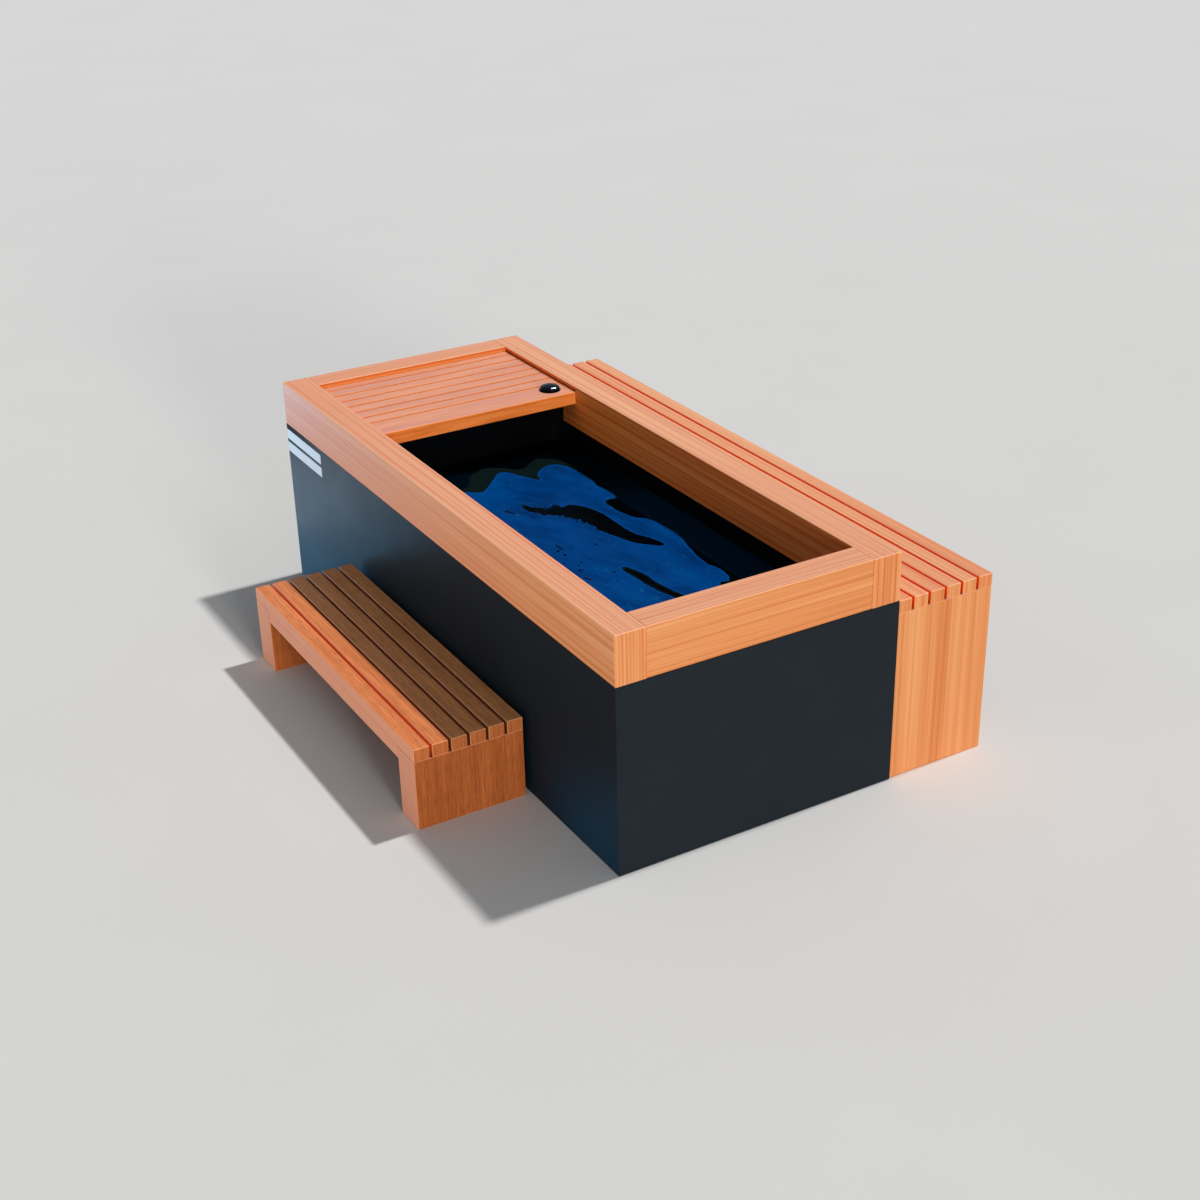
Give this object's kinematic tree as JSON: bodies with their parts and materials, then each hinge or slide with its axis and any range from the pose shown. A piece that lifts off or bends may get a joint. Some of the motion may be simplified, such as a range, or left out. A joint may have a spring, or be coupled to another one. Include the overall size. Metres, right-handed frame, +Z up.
{
  "type": "cold plunge tub",
  "caption": "Rectangular cold plunge tub with a timber rim, a slatted lid over its service end, dark panelled sides, a side bench and a loose step.",
  "frame": {"origin": "on the floor at the centre of the tub's own footprint, without the bench and the step", "axes": "+Z up, +X along the tub from the service end towards the open end, +Y towards the bench, -Y towards the step"},
  "size_m": [1.862, 1.3271, 0.604],
  "materials": {
    "timber": "satin",
    "timber_shade": "satin",
    "softwood": "matte",
    "side_panel": "satin",
    "liner": "satin",
    "foam": "matte",
    "gloss_black": "gloss",
    "grey_plastic": "matte",
    "casing": "satin",
    "white_plastic": "satin",
    "steel": "satin",
    "red_lever": "satin"
  },
  "bodies": {
    "root": {"base_runners": "softwood", "base_board": "softwood", "frame_posts": "softwood", "panel_front": "side_panel", "panel_back": "side_panel", "panel_near": "side_panel", "panel_far": "side_panel", "insulation": "foam", "shell": "liner", "divider": "liner", "rim_front": "timber", "rim_back": "timber", "rim_near": "timber", "rim_far": "timber", "rim_dowels": "softwood", "lid_cleats": "timber_shade", "bench_slat_1": "timber", "bench_slat_2": "timber", "bench_slat_3": "timber", "bench_slat_4": "timber", "bench_slat_5": "timber", "bench_slat_6": "timber", "bench_leg_near": "timber", "bench_leg_mid": "timber", "bench_leg_far": "timber", "bench_rails": "timber", "chiller_casing": "casing", "chiller_grille": "steel", "circulation_pump": "grey_plastic", "filter_housing": "grey_plastic", "filter_cartridge": "white_plastic", "pipework": "white_plastic", "wall_fittings": "white_plastic", "drain_fitting": "white_plastic", "drain_valve": "steel", "power_gland": "gloss_black"},
    "lid": {"lid_nosing": "timber", "lid_board_1": "timber", "lid_board_2": "timber", "lid_board_3": "timber", "lid_board_4": "timber", "lid_board_5": "timber", "lid_board_6": "timber", "lid_board_7": "timber", "lid_battens": "timber_shade", "button_housing": "gloss_black", "button_nut": "grey_plastic"},
    "step": {"step_slat_1": "timber", "step_slat_2": "timber", "step_slat_3": "timber", "step_slat_4": "timber", "step_slat_5": "timber", "step_slat_6": "timber", "step_leg_near": "timber", "step_leg_far": "timber", "step_rails": "timber"},
    "button": {"button_dome": "gloss_black"},
    "cap": {"filter_cap": "white_plastic"},
    "lever": {"drain_handle": "red_lever"},
    "fan": {"chiller_fan": "gloss_black"}
  },
  "joints": [
    {"name": "lid_lift", "type": "slide", "parent": "root", "child": "lid", "axis": [0, 0, 1], "range_m": [0, 0.16]},
    {"name": "button_press", "type": "slide", "parent": "lid", "child": "button", "axis": [0, 0, -1], "range_m": [0, 0.004], "stiffness_N_per_m": 800, "springref_m": -0.004},
    {"name": "step_slide", "type": "slide", "parent": "root", "child": "step", "axis": [0, -1, 0], "range_m": [0, 0.3]},
    {"name": "filter_cap_turn", "type": "hinge", "parent": "root", "child": "cap", "pos_m": [-0.74, 0.25, 0.455], "axis": [0, 0, 1], "range_deg": [0, 60]},
    {"name": "drain_lever_turn", "type": "hinge", "parent": "root", "child": "lever", "pos_m": [-0.855, 0.009, 0.122], "axis": [0, 0, -1], "range_deg": [0, 90]},
    {"name": "fan_spin", "type": "hinge", "parent": "root", "child": "fan", "pos_m": [-0.83, -0.19, 0.237], "axis": [1, 0, 0], "continuous": true}
  ]
}
